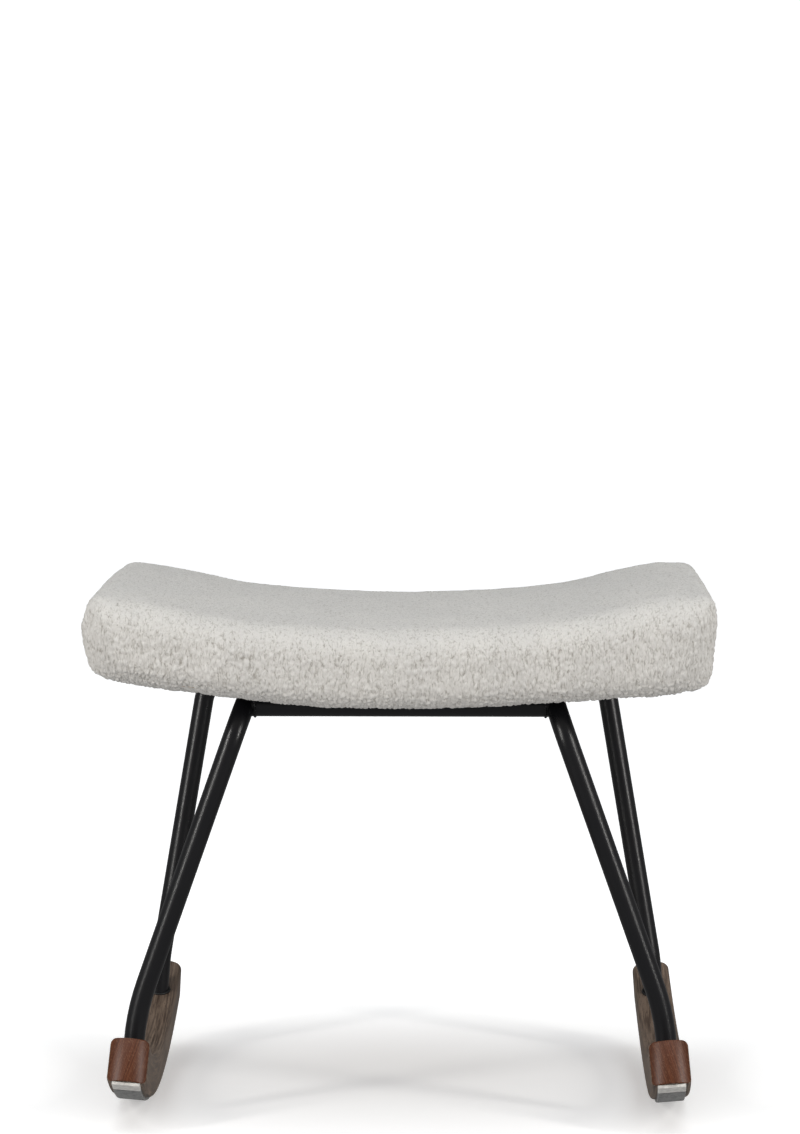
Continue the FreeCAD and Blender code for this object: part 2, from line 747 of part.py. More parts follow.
def staple(along, y, turned_round, drop):
    """Wire staple with its crown under the cloth and its legs up in the plywood."""
    half = size("staple_width") / 2
    wire = size("staple_wire")
    leg = size("staple_leg")
    points = [(-half, -wire), (half, -wire), (half, leg), (half - wire, leg),
              (half - wire, 0), (wire - half, 0), (wire - half, leg), (-half, leg)]
    outline = [Vector(x, -wire / 2, z) for x, z in points]
    solid = Part.Face(Part.makePolygon(outline + outline[:1])).extrude(Vector(0, wire, 0))
    if turned_round:
        solid.rotate(Vector(0, 0, 0), Vector(0, 0, 1), 90)
    tilt = math.degrees(math.asin(along / size("shell_radius")))
    solid.Placement = Placement(Vector(along, y, shell_z(along, drop)),
                                Rotation(Vector(0, 1, 0), -tilt)).multiply(solid.Placement)
    return solid


def staple_row(width, length, across, deep, drop):
    """Staples round a rectangle: as many as across says on each long side, as deep says on each short one."""
    row = []
    for step in range(across):
        x = width * ((step + 0.5) / across - 0.5)
        row += [staple(x, end * length / 2, False, drop) for end in (-1, 1)]
    for step in range(deep):
        y = length * ((step + 0.5) / deep - 0.5)
        row += [staple(side * width / 2, y, True, drop) for side in (-1, 1)]
    return row


def make_staples():
    """One row holds the hem of the cover, a wider-spaced row holds the dust cover."""
    width = size("seat_width") - 2 * size("hem_width")
    length = size("seat_length") - 2 * size("hem_width")
    out = 2 * size("staple_width")
    group("cover_staples", staple_row(width + out, length + out, 5, 3, size("cover_thickness")))
    group("dust_cover_staples", staple_row(width - out, length - out, 2, 2, size("cloth_thickness")))


# The whole stool

for word, side in SIDES.items():
    make_rocker("rocker_" + word, side)
make_felts()
for word, side in SIDES.items():
    make_front_leg("front_leg_" + word, side)
make_rear_frame("rear_leg_frame")
make_front_rail("front_cross_rail")
make_collars()
make_foot_fixings()
make_shell("seat_shell")
for word, side, end in each_foot():
    make_bracket("seat_bracket_" + word, side, end)
make_seat_fixings()
make_pad("seat_cover", "seat_foam")
make_dust_cover("dust_cover")
make_staples()
doc.recompute()

for obj in doc.Objects:
    if "Invalid" in obj.State or "Error" in obj.State:
        raise RuntimeError(obj.Name + " failed: " + ", ".join(obj.State))
for node in nodes:
    if node.Shape.isNull() or not node.Shape.isValid():
        raise RuntimeError(node.Label + " has no valid shape")

os.makedirs("parts", exist_ok=True)
for node in nodes:
    node.Shape.exportStep(f"parts/{node.Label}.step")
print(len(nodes), "nodes written")
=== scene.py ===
import math

import bmesh
import bpy
from mathutils import Matrix, Vector, noise


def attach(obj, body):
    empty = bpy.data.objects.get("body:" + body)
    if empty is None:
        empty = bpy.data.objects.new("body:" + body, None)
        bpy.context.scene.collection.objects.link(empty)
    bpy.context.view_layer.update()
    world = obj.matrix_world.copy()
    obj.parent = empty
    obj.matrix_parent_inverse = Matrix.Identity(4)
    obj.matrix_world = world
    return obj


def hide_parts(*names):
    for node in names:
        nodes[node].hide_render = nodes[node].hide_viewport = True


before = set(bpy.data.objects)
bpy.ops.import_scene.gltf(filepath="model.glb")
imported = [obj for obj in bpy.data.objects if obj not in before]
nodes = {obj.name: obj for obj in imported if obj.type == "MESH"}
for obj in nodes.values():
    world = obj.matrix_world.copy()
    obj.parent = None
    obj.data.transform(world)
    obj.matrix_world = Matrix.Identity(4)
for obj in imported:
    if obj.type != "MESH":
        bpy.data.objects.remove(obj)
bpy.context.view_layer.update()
noise.seed_set(7)    # Blender starts this noise from the clock when it isn't given a seed

# Sizes in metres. They repeat the driving dimensions of the solids.

SIDES = {"left": -1, "right": 1}
ENDS = {"front": -1, "rear": 1}

CANT = math.radians(4.8)
ROCKER_RADIUS = 0.474
ROCKER_DEPTH = 0.038
ROCKER_WIDTH = 0.034
ROCKER_HALF = math.asin(0.2035 / ROCKER_RADIUS)
ROCKER_SPREAD = 0.236
FELT_WIDTH = 0.024
FELT_HEIGHT = 0.003
FOOT_REACH = 0.138
FOOT_DEPTH = 0.024
FOOT_BEND_HEIGHT = 0.097
TUBE = 0.009
ELBOW_REACH = 0.153
RAIL_HEIGHT = 0.365
FRONT_SPREAD = 0.1335
REAR_SPREAD = 0.1835
FRONT_RAIL_REACH = 0.128
FRONT_RAIL_HEIGHT = 0.3626
SHELL_RADIUS = 1.4
SHELL_HEIGHT = 0.375
SEAT_WIDTH = 0.544
SEAT_LENGTH = 0.416
SEAT_MIDDLE = 0.067
SEAT_EDGE = 0.059
COVER = 0.004
HEM = 0.042
FELT_INSET = 0.003
FELT_GAP = 0.0012
FRONT_RAIL_HALF = 0.1285
RAIL_STOP = 0.002         # the side rails end this far short of the rear tube's axis

# Sizes that only the scene has.

PAD_HALF_WIDTH = 0.2765
PAD_HALF_LENGTH = 0.2085
PAD_CORNER = 0.038        # radius, seen from above, of the pad's corners
PAD_TOP_ROUND = 0.028     # rounding of the top edges at the front and the back
PAD_LOW_ROUND = 0.021
END_TOP_ROUND = 0.011     # the same at the two ends
END_LOW_ROUND = 0.013
PAD_SPACING = 0.0055      # between the points of the pad's first mesh
MOST_SWELL = 0.003        # furthest that filling out moves a point of the pad
SWELL_FRAMES = 20
CURL = 0.0036             # width of a curl of the pile
END_CURVE = 0.024         # radius, seen from above, of a rocker's rounded end
END_EASE = 0.05           # stretch of the board over which that curve fades out
WELD_BEAD = 0.0010        # radius of a bead of weld
FRONT_WELD_SPREAD = 0.1252
REAR_WELD_STEP = 0.0085   # the rear beads lie this far in front of the rear tube's axis
COLLAR_RADIUS = 0.0098
COLLAR_THICKNESS = 0.0012
LINING_INSET = 0.001
LINING_DROP = 0.0009      # from the plywood to the lining


def board(side):
    """Frame of one rocker: origin at the lowest point of its wood, Z in the canted board."""
    lift = FELT_WIDTH / 2 * math.sin(CANT) + FELT_HEIGHT * math.cos(CANT)
    return Matrix.Translation((side * ROCKER_SPREAD, 0, lift)) @ Matrix.Rotation(-side * CANT, 4, "Y")


def arc_height(radius, y):
    return ROCKER_RADIUS - math.sqrt(radius ** 2 - y ** 2)


TOP_AT_FOOT = arc_height(ROCKER_RADIUS - ROCKER_DEPTH, FOOT_REACH)


# Material maths

class Value:
    """A number or colour inside a node tree, with ordinary arithmetic."""

    def __init__(self, owner, socket):
        self.owner = owner
        self.socket = socket

    def _math(self, operation, *values):
        return self.owner.node("ShaderNodeMath", {"operation": operation}, dict(enumerate(values)))

    def __add__(self, other):
        return self._math("ADD", self, other)

    def __sub__(self, other):
        return self._math("SUBTRACT", self, other)

    def __rsub__(self, other):
        return self._math("SUBTRACT", other, self)

    def __mul__(self, other):
        return self._math("MULTIPLY", self, other)

    def __pow__(self, other):
        return self._math("POWER", self, other)

    __radd__ = __add__
    __rmul__ = __mul__

    def fade(self, low, high, start=0.0, end=1.0):
        """Smooth passage from start to end while the number goes from low to high."""
        return self.owner.node("ShaderNodeMapRange", {"interpolation_type": "SMOOTHSTEP"},
                               {"Value": self, "From Min": low, "From Max": high,
                                "To Min": start, "To Max": end})


class Nodes:
    """A node tree, and the one way in which nodes are added to it."""

    def __init__(self, tree):
        self.tree = tree

    def feed(self, socket, value):
        if isinstance(value, Value):
            self.tree.links.new(value.socket, socket)
        elif socket.type == "RGBA" and len(value) == 3:
            socket.default_value = (*value, 1.0)
        else:
            socket.default_value = value

    def node(self, kind, settings=None, inputs=None, output=0):
        """Any node: its settings first, then the values or links of its sockets."""
        node = self.tree.nodes.new(kind)
        for key, value in (settings or {}).items():
            setattr(node, key, value)
        for key, value in (inputs or {}).items():
            self.feed(node.inputs[key], value)
        return Value(self, node.outputs[output])

    def parts(self, vector):
        """The three numbers of a vector."""
        return [self.node("ShaderNodeSeparateXYZ", inputs={0: vector}, output=axis) for axis in range(3)]


class Finish(Nodes):
    """One procedural material, built around a Principled shader."""

    def __init__(self, name, **constants):
        self.material = bpy.data.materials.new(name)
        self.material.use_nodes = True
        super().__init__(self.material.node_tree)
        self.shader = next(n for n in self.tree.nodes if n.type == "BSDF_PRINCIPLED")
        for words, value in constants.items():
            self.set(words.replace("_", " ").title().replace("Ior", "IOR"), value)

    def set(self, socket_name, value):
        self.feed(self.shader.inputs[socket_name], value)

    def place(self):
        return self.node("ShaderNodeTexCoord", output="Object")

    def vector(self, x, y, z):
        return self.node("ShaderNodeCombineXYZ", inputs={0: x, 1: y, 2: z})

    def noise(self, vector, scale, detail=2.0, rough=0.5):
        return self.node("ShaderNodeTexNoise", inputs={"Vector": vector, "Scale": scale,
                                                       "Detail": detail, "Roughness": rough})

    def cells(self, vector, scale, feature):
        return self.node("ShaderNodeTexVoronoi", {"feature": feature},
                         {"Vector": vector, "Scale": scale, "Randomness": 1.0})

    def warp(self, vector, scale, amount):
        """A place pushed about by noise."""
        push = self.node("ShaderNodeTexNoise", inputs={"Vector": vector, "Scale": scale}, output="Color")
        centred = self.node("ShaderNodeVectorMath", {"operation": "SUBTRACT"},
                            {0: push, 1: (0.5, 0.5, 0.5)})
        scaled = self.node("ShaderNodeVectorMath", {"operation": "SCALE"}, {0: centred, "Scale": amount})
        return self.node("ShaderNodeVectorMath", {"operation": "ADD"}, {0: vector, 1: scaled})

    def mix(self, factor, low, high):
        """Colour between two colours."""
        return self.node("ShaderNodeMix", {"data_type": "RGBA"}, {"Factor": factor, 6: low, 7: high},
                         output=2)

    def bump(self, height, distance, strength=1.0):
        self.set("Normal", self.node("ShaderNodeBump", inputs={"Height": height, "Distance": distance,
                                                               "Strength": strength}))


def boucle():
    """Cream curled pile: fine soft lumps, parted by short upright creases, with painted shade in the
    creases and between the curls.
    """
    cloth = Finish("cream_boucle", roughness=0.95, sheen_weight=0.25, sheen_roughness=0.5,
                   specular_ior_level=0.1)
    x, y, z = cloth.parts(cloth.place())
    place = cloth.warp(cloth.vector(x, y * 0.6, z * 0.36), 190, 0.0025)
    loops = cloth.noise(place, 900, 3, 0.7)
    edge = cloth.cells(place, 430, "DISTANCE_TO_EDGE")
    gate = cloth.noise(place, 420, 2, 0.6)
    specks = cloth.noise(place, 330, 2)
    patches = cloth.noise(place, 22, 2)
    hollow = cloth.node("ShaderNodeAttribute", {"attribute_name": "crease"}, output="Fac")
    lines = edge.fade(0.0, 0.22, 1.0, 0.0) * gate.fade(0.44, 0.64)
    # Painted shade: the creases, the dips between curls and scattered specks are mixed towards a shade
    # colour.
    pile_shade = (hollow * 0.30 + lines * 0.52 + loops.fade(0.46, 0.74) * 0.34
            + specks.fade(0.55, 0.72) * 0.22)
    light = cloth.mix(patches.fade(0.35, 0.65), (0.662, 0.644, 0.616), (0.634, 0.618, 0.594))
    cloth.set("Base Color", cloth.mix(pile_shade.fade(0.0, 1.2), light, (0.30, 0.28, 0.25)))
    cloth.bump(edge * 1.2 + loops * 0.7, 0.0012, 0.6)
    return cloth.material


def black_coat():
    """Black satin powder coat with a faint grain."""
    coat = Finish("black_satin_coat", base_color=(0.008, 0.008, 0.0095), specular_ior_level=0.40)
    place = coat.place()
    grain = coat.noise(place, 900, 2)
    haze = coat.noise(place, 30, 2)
    coat.set("Roughness", haze.fade(0.3, 0.7, 0.27, 0.34))
    coat.bump(grain, 0.00012, 0.5)
    return coat.material


def long_grain():
    """Stained hardwood seen along the board: straight fine grain that follows the curve."""
    wood = Finish("stained_wood_long", specular_ior_level=0.3)
    x, y, z = wood.parts(wood.place())
    up = ROCKER_RADIUS - z
    turn = wood.node("ShaderNodeMath", {"operation": "ARCTAN2"}, {0: y, 1: up})
    reach = (y * y + up * up) ** 0.5
    streaks = wood.noise(wood.vector(x * 30, turn * 0.35, reach * 30), 24, 4, 0.6)
    pores = wood.noise(wood.vector(x * 30, turn * 1.2, reach * 30), 42, 2, 0.6)
    bands = wood.noise(wood.vector(x * 6, turn * 1.2, reach * 6), 5, 2)
    brown = wood.mix(streaks.fade(0.32, 0.66), (0.056, 0.035, 0.024), (0.235, 0.172, 0.128))
    brown = wood.mix(bands.fade(0.35, 0.7) * 0.5, brown, (0.125, 0.092, 0.070))
    wood.set("Base Color", wood.mix(pores.fade(0.56, 0.70) * 0.7, brown, (0.040, 0.024, 0.017)))
    wood.set("Roughness", streaks.fade(0.3, 0.7, 0.42, 0.55))
    wood.bump(pores * 0.6 + streaks * 0.4, 0.0002, 0.4)
    return wood.material


def end_grain():
    """The rounded ends: redder and glossier, with short slanting pores."""
    wood = Finish("stained_wood_end", specular_ior_level=0.28, coat_roughness=0.34)
    x, y, z = wood.parts(wood.place())
    rings = wood.noise(wood.vector(x * 3, 0, (x * x * 6 + z) * 50), 6, 4, 0.55)
    hatch = wood.noise(wood.vector(x + z * 0.35, y, z * 0.16), 1100, 2, 0.5)
    red = wood.mix(rings.fade(0.35, 0.68), (0.062, 0.017, 0.006), (0.118, 0.036, 0.014))
    wood.set("Base Color", wood.mix(hatch.fade(0.52, 0.68) * 0.5, red, (0.18, 0.080, 0.042)))
    wood.set("Roughness", rings.fade(0.3, 0.7, 0.36, 0.46))
    wood.set("Coat Weight", 0.07)
    wood.bump(hatch * 0.6 + rings * 0.4, 0.00012, 0.3)
    return wood.material


def felt(name, low, high):
    """Pressed felt: mottled, matt, with a few lighter fibres."""
    cloth = Finish(name, roughness=1.0, specular_ior_level=0.1, sheen_weight=0.25)
    place = cloth.place()
    mottle = cloth.noise(place, 260, 5, 0.65)
    fibre = cloth.noise(cloth.warp(place, 90, 0.01), 700, 2)
    base = cloth.mix(mottle.fade(0.32, 0.68), low, high)
    cloth.set("Base Color", cloth.mix(fibre.fade(0.6, 0.75) * 0.5, base, high))
    cloth.bump(mottle * 0.5 + fibre * 0.5, 0.0005, 0.7)
    return cloth.material


def rubbery_black():
    ring = Finish("black_ring", base_color=(0.012, 0.012, 0.013), specular_ior_level=0.4)
    ring.set("Roughness", ring.noise(ring.place(), 200, 2).fade(0.3, 0.7, 0.45, 0.6))
    return ring.material


def zinc():
    """Zinc-plated steel: pale, slightly clouded."""
    steel = Finish("zinc_plated_steel", metallic=1.0)
    place = steel.place()
    cloud = steel.noise(place, 120, 4, 0.6)
    steel.set("Base Color", steel.mix(cloud.fade(0.3, 0.7), (0.50, 0.50, 0.48), (0.68, 0.68, 0.65)))
    steel.set("Roughness", cloud.fade(0.3, 0.7, 0.28, 0.42))
    return steel.material


def plywood():
    """Raw plywood: pale face grain, and darker glue lines between the layers at its edge."""
    ply = Finish("raw_plywood", roughness=0.8)
    x, y, z = ply.parts(ply.place())
    rise = SHELL_HEIGHT + SHELL_RADIUS - z
    depth = SHELL_RADIUS - (x * x + rise * rise) ** 0.5
    layer = ply.node("ShaderNodeMath", {"operation": "PINGPONG"}, {0: depth, 1: 0.0012})
    grain = ply.noise(ply.vector(x * 3, y * 40, z * 3), 9, 4, 0.6)
    face = ply.mix(grain.fade(0.3, 0.7), (0.55, 0.40, 0.25), (0.68, 0.53, 0.36))
    ply.set("Base Color", ply.mix(layer.fade(0.0, 0.0003, 0.6, 0.0), face, (0.25, 0.16, 0.09)))
    ply.bump(grain, 0.0002, 0.3)
    return ply.material


def lining():
    """Thin black non-woven cloth: pressed dots on felted fibres."""
    cloth = Finish("black_lining", roughness=0.95, specular_ior_level=0.15)
    place = cloth.place()
    fibres = cloth.noise(cloth.warp(place, 60, 0.02), 500, 4, 0.6)
    dots = cloth.cells(place, 420, "F1")
    cloth.set("Base Color", cloth.mix(fibres.fade(0.3, 0.7), (0.016, 0.016, 0.017), (0.035, 0.035, 0.037)))
    cloth.bump(dots * 0.6 + fibres * 0.6, 0.0003, 0.6)
    return cloth.material


def floor_finish():
    """Painted light: the floor glows by its own emission, white in the distance and less bright round the
    stool so that its shadow shows.
    """
    paint = Finish("pale_floor", roughness=0.9, specular_ior_level=0.1)
    tone = paint.noise(paint.place(), 1.5, 2)
    paint.set("Base Color", paint.mix(tone, (0.93, 0.925, 0.92), (0.94, 0.935, 0.93)))
    x, y, z = paint.parts(paint.place())
    away = (x * x + y * y) ** 0.5
    # Painted glow, weaker near the stool.
    painted_glow = paint.mix(away.fade(0.15, 0.70), (0.54, 0.53, 0.53), (1.0, 1.0, 1.0))
    paint.set("Emission Color", painted_glow)
    paint.set("Emission Strength", 0.54)
    return paint.material


CREAM = boucle()
BLACK = black_coat()
LONG_GRAIN = long_grain()
END_GRAIN = end_grain()
GREY_FELT = felt("grey_felt", (0.075, 0.075, 0.075), (0.20, 0.198, 0.192))
PALE_FELT = felt("pale_felt", (0.46, 0.445, 0.42), (0.68, 0.66, 0.62))
RING = rubbery_black()
ZINC = zinc()
PLY = plywood()
LINING = lining()


# Making pieces

def nothing_picked():
    bpy.ops.object.select_all(action="DESELECT")


def only(piece):
    nothing_picked()
    piece.select_set(True)
    bpy.context.view_layer.objects.active = piece


def edit(piece, mode="VERT"):
    """Edit mode with nothing picked."""
    only(piece)
    bpy.ops.object.mode_set(mode="EDIT")
    bpy.ops.mesh.select_mode(type=mode)
    bpy.ops.mesh.select_all(action="DESELECT")


def done():
    bpy.ops.object.mode_set(mode="OBJECT")


def pick_edges(piece, wanted):
    """Pick, in edit mode, the edges for which wanted(one end, other end) is true."""
    bpy.ops.mesh.select_all(action="DESELECT")
    bpy.ops.object.mode_set(mode="OBJECT")
    mesh = piece.data
    for edge in mesh.edges:
        a, b = (mesh.vertices[i].co for i in edge.vertices)
        edge.select = wanted(a, b)
    bpy.ops.object.mode_set(mode="EDIT")


def tidy_normals(piece):
    edit(piece)
    bpy.ops.mesh.select_all(action="SELECT")
    bpy.ops.mesh.remove_doubles(threshold=0.00001)
    bpy.ops.mesh.normals_make_consistent(inside=False)
    done()


def in_place(piece, name, finish, stands_for=()):
    """Name and place a finished piece, give it its material and join it to the stool."""
    piece.name = name
    piece.data.name = name
    only(piece)
    bpy.ops.object.transform_apply(location=True, rotation=True, scale=True)
    if finish is not None:
        piece.data.materials.clear()
        piece.data.materials.append(finish)
    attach(piece, "root")
    if stands_for:
        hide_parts(*stands_for)
    return piece


def smooth(piece, degrees=35):
    only(piece)
    bpy.ops.object.shade_smooth_by_angle(angle=math.radians(degrees))


# Rockers and felt

def arc_bar(width, top_radius, low_radius, start, end, top_round, low_round, end_round, steps):
    """Bar of rounded section swept about the rocker's centre, from angle start to end."""
    depth = low_radius - top_radius
    middle = ROCKER_RADIUS - low_radius + depth / 2
    nothing_picked()
    bpy.ops.mesh.primitive_plane_add(size=1, location=(0, 0, middle), rotation=(math.pi / 2, 0, 0))
    bar = bpy.context.object
    bar.scale = (width, depth, 1)
    bpy.ops.object.transform_apply(location=True, rotation=True, scale=True)
    edit(bar)
    for upper, rounding in ((True, top_round), (False, low_round)):
        bpy.ops.mesh.select_all(action="DESELECT")
        done()
        for corner in bar.data.vertices:
            outer = abs(abs(corner.co.x) - width / 2) < 1e-6
            corner.select = outer and (corner.co.z > middle + depth / 2 - 1e-6 if upper
                                       else corner.co.z < middle - depth / 2 + 1e-6)
        bpy.ops.object.mode_set(mode="EDIT")
        bpy.ops.mesh.bevel(offset=rounding, segments=6, affect="VERTICES")
    done()
    bar.data.transform(Matrix.Translation((0, 0, ROCKER_RADIUS)) @ Matrix.Rotation(start, 4, "X")
                       @ Matrix.Translation((0, 0, -ROCKER_RADIUS)))
    edit(bar)
    bpy.ops.mesh.select_all(action="SELECT")
    bpy.ops.mesh.spin(steps=steps, angle=start - end, center=(0, 0, ROCKER_RADIUS), axis=(1, 0, 0))
    bpy.ops.mesh.select_all(action="DESELECT")
    bpy.ops.mesh.select_mode(type="EDGE")
    bpy.ops.mesh.select_non_manifold()
    if any(e.is_boundary for e in bmesh.from_edit_mesh(bar.data).edges):
        bpy.ops.mesh.edge_face_add()
    done()
    tidy_normals(bar)

    def at_end(point, angle):
        return abs(math.atan2(point.y, ROCKER_RADIUS - point.z) - angle) < 1e-5

    edit(bar, "EDGE")
    pick_edges(bar, lambda a, b: any(at_end(a, stop) and at_end(b, stop) for stop in (start, end)))
    bpy.ops.mesh.bevel(offset=end_round, segments=3, affect="EDGES")
    done()
    return bar


def round_ends(bar):
    """Curve both ends as seen from above, easing the change into the last stretch of the board."""
    edit(bar)
    for row in range(-5, 6):
        bpy.ops.mesh.select_all(action="SELECT")
        bpy.ops.mesh.bisect(plane_co=(row * ROCKER_WIDTH / 12, 0, 0), plane_no=(1, 0, 0))
    done()
    for vertex in bar.data.vertices:
        co = vertex.co
        up = ROCKER_RADIUS - co.z
        angle = math.atan2(co.y, up)
        reach = math.hypot(co.y, up)
        left = (ROCKER_HALF - abs(angle)) * reach
        hollow = END_CURVE - math.sqrt(END_CURVE ** 2 - co.x ** 2)
        drawn = hollow * max(0.0, 1 - left / END_EASE) / reach
        angle -= math.copysign(drawn, angle)
        vertex.co = Vector((co.x, reach * math.sin(angle), ROCKER_RADIUS - reach * math.cos(angle)))


def make_rocker():
    """Board with a well rounded top, eased lower edges and ends curved in plan."""
    bar = arc_bar(ROCKER_WIDTH, ROCKER_RADIUS - ROCKER_DEPTH, ROCKER_RADIUS, -ROCKER_HALF, ROCKER_HALF,
                  top_round=0.005, low_round=0.004, end_round=0.0011, steps=96)
    round_ends(bar)
    bar.data.materials.append(LONG_GRAIN)
    bar.data.materials.append(END_GRAIN)
    for face in bar.data.polygons:
        centre = face.center
        angle = math.atan2(centre.y, ROCKER_RADIUS - centre.z)
        along = Vector((0, math.cos(angle), math.sin(angle)))
        if abs(angle) > ROCKER_HALF - 0.022 and abs(face.normal.dot(along)) > 0.6:
            face.material_index = 1
    smooth(bar)
    return bar


def place_on_board(piece, side):
    piece.data.transform(board(side))
    piece.data.update()


for word, side in SIDES.items():
    rocker = make_rocker()
    place_on_board(rocker, side)
    in_place(rocker, "wood_rocker_" + word, None, ["rocker_" + word])

ARC_HALF = ROCKER_RADIUS * ROCKER_HALF
TAB_END = -ARC_HALF + 0.023
PAD_END = TAB_END + 0.0552
REAR_START = ARC_HALF - 0.077
FELTS = (
    ("felt_tab", -ARC_HALF + FELT_INSET, TAB_END, PALE_FELT, "felt_pale"),
    ("felt_front_pad", TAB_END + FELT_GAP, PAD_END, GREY_FELT, "felt_grey"),
    ("felt_runner", PAD_END + FELT_GAP, REAR_START - FELT_GAP, GREY_FELT, "felt_grey"),
    ("felt_rear_pad", REAR_START, ARC_HALF - FELT_INSET, GREY_FELT, "felt_grey"),
)
for word, side in SIDES.items():
    for label, start, end, finish, slot in FELTS:
        strip = arc_bar(FELT_WIDTH, ROCKER_RADIUS, ROCKER_RADIUS + FELT_HEIGHT,
                        start / ROCKER_RADIUS, end / ROCKER_RADIUS, top_round=0.0002, low_round=0.0008,
                        end_round=0.0004, steps=max(6, int((end - start) / 0.004)))
        place_on_board(strip, side)
        smooth(strip)
        in_place(strip, f"soft_{label}_{word}", finish, [f"{label}_{word}"])


# Tube frame

def bent_tube(points, radii, radius=TUBE, sides=40):
    """Tube drawn as by hand: a ring, pulled along each straight run and spun round each bend."""
    points = [Vector(p) for p in points]
    first = (points[1] - points[0]).normalized()
    nothing_picked()
    bpy.ops.mesh.primitive_circle_add(vertices=sides, radius=radius, fill_type="NGON")
    tube = bpy.context.object
    turned = first.to_track_quat("Z", "Y").to_matrix().to_4x4()
    tube.data.transform(Matrix.Translation(points[0]) @ turned)
    edit(tube)
    bpy.ops.mesh.select_all(action="SELECT")
    at = points[0]
    for corner, after, bend in zip(points[1:-1], points[2:], radii):
        before = (corner - at).normalized()
        leave = (after - corner).normalized()
        turn = before.angle(leave)
        setback = bend * math.tan(turn / 2)
        start = corner - before * setback
        bpy.ops.mesh.extrude_region_move(TRANSFORM_OT_translate={"value": start - at})
        axis = before.cross(leave).normalized()
        bpy.ops.mesh.spin(steps=max(5, round(turn / math.radians(4))), angle=-turn,
                          center=start + axis.cross(before) * bend, axis=axis)
        at = corner + leave * setback
    bpy.ops.mesh.extrude_region_move(TRANSFORM_OT_translate={"value": points[-1] - at})
    done()
    tidy_normals(tube)
    smooth(tube, 40)
    return tube


def leg_points(side, end):
    foot = board(side) @ Vector((0, end * FOOT_REACH, TOP_AT_FOOT - FOOT_DEPTH + 0.0003))
    upright = (FOOT_BEND_HEIGHT - board(side).translation.z) / math.cos(CANT)
    spread = FRONT_SPREAD if end < 0 else REAR_SPREAD
    return [foot, board(side) @ Vector((0, end * FOOT_REACH, upright)),
            Vector((side * spread, end * ELBOW_REACH, RAIL_HEIGHT))]


BENDS = [0.200, 0.036]    # radii of the bend above the foot and of the elbow
for word, side in SIDES.items():
    back = Vector((side * FRONT_SPREAD, ELBOW_REACH - RAIL_STOP, RAIL_HEIGHT))
    leg = bent_tube(leg_points(side, -1) + [back], BENDS)
    in_place(leg, "steel_front_leg_" + word, BLACK, ["front_leg_" + word])
rear = bent_tube(leg_points(-1, 1) + leg_points(1, 1)[::-1], BENDS + BENDS[::-1])
in_place(rear, "steel_rear_frame", BLACK, ["rear_leg_frame"])
rail_ends = [(side * FRONT_RAIL_HALF, -FRONT_RAIL_REACH, FRONT_RAIL_HEIGHT) for side in SIDES.values()]
rail = bent_tube(rail_ends, [])
in_place(rail, "steel_front_rail", BLACK, ["front_cross_rail"])


def weld(name, centre, axis, radius):
    """Bead of weld round the end of a tube, a little uneven."""
    nothing_picked()
    bpy.ops.mesh.primitive_torus_add(major_radius=radius, minor_radius=WELD_BEAD, major_segments=96,
                                     minor_segments=10)
    bead = bpy.context.object
    for point in bead.data.vertices:
        angle = math.atan2(point.co.y, point.co.x)
        ring = Vector((math.cos(angle), math.sin(angle), 0)) * radius
        fullness = 1 + 0.28 * math.sin(angle * 26) + 0.25 * noise.noise(point.co * 300)
        point.co = ring + (point.co - ring) * fullness
    turned = Vector(axis).to_track_quat("Z", "Y").to_matrix().to_4x4()
    bead.data.transform(Matrix.Translation(centre) @ turned)
    smooth(bead, 60)
    in_place(bead, name, BLACK)


for word, side in SIDES.items():
    weld("weld_front_" + word, (side * FRONT_WELD_SPREAD, -FRONT_RAIL_REACH, FRONT_RAIL_HEIGHT),
         (1, 0, 0), TUBE)
    weld("weld_rear_" + word, (side * FRONT_SPREAD, ELBOW_REACH - REAR_WELD_STEP, RAIL_HEIGHT),
         (0, 1, 0), TUBE)


def make_collar(word, side, end):
    """Thin ring lying on the sloping top of the rocker round a foot."""
    slope = end * math.asin(FOOT_REACH / (ROCKER_RADIUS - ROCKER_DEPTH))
    nothing_picked()
    bpy.ops.mesh.primitive_torus_add(major_radius=COLLAR_RADIUS, minor_radius=COLLAR_THICKNESS,
                                     major_segments=56, minor_segments=12)
    ring = bpy.context.object
    place = board(side) @ Matrix.Translation((0, end * FOOT_REACH, TOP_AT_FOOT + 0.0006))
    ring.data.transform(place @ Matrix.Rotation(slope, 4, "X"))
    smooth(ring, 60)
    in_place(ring, "foot_ring_" + word, RING, ["foot_collar_" + word])


for side_word, side in SIDES.items():
    for end_word, end in ENDS.items():
        make_collar(f"{end_word}_{side_word}", side, end)


# Pad

def bent(point):
    """Where a point of the flat pad goes when the plywood's curve is given to it."""
    angle = point.x / (SHELL_RADIUS - SEAT_MIDDLE / 2)
    radius = SHELL_RADIUS + COVER - point.z
    height = SHELL_HEIGHT + SHELL_RADIUS - radius * math.cos(angle)
    return Vector((radius * math.sin(angle), point.y, height))


def quarter(across, up, radius):
    """Move a point of a square corner onto a round one. Both numbers run out from the round's centre."""
    if across <= 0 or up <= 0:
        return across, up
    shrink = max(across, up) / math.hypot(across, up)
    return across * shrink, up * shrink


def ease(value, low, high):
    """Smooth passage from 0 to 1 while value goes from low to high."""
    t = min(1.0, max(0.0, (value - low) / (high - low)))
    return t * t * (3 - 2 * t)


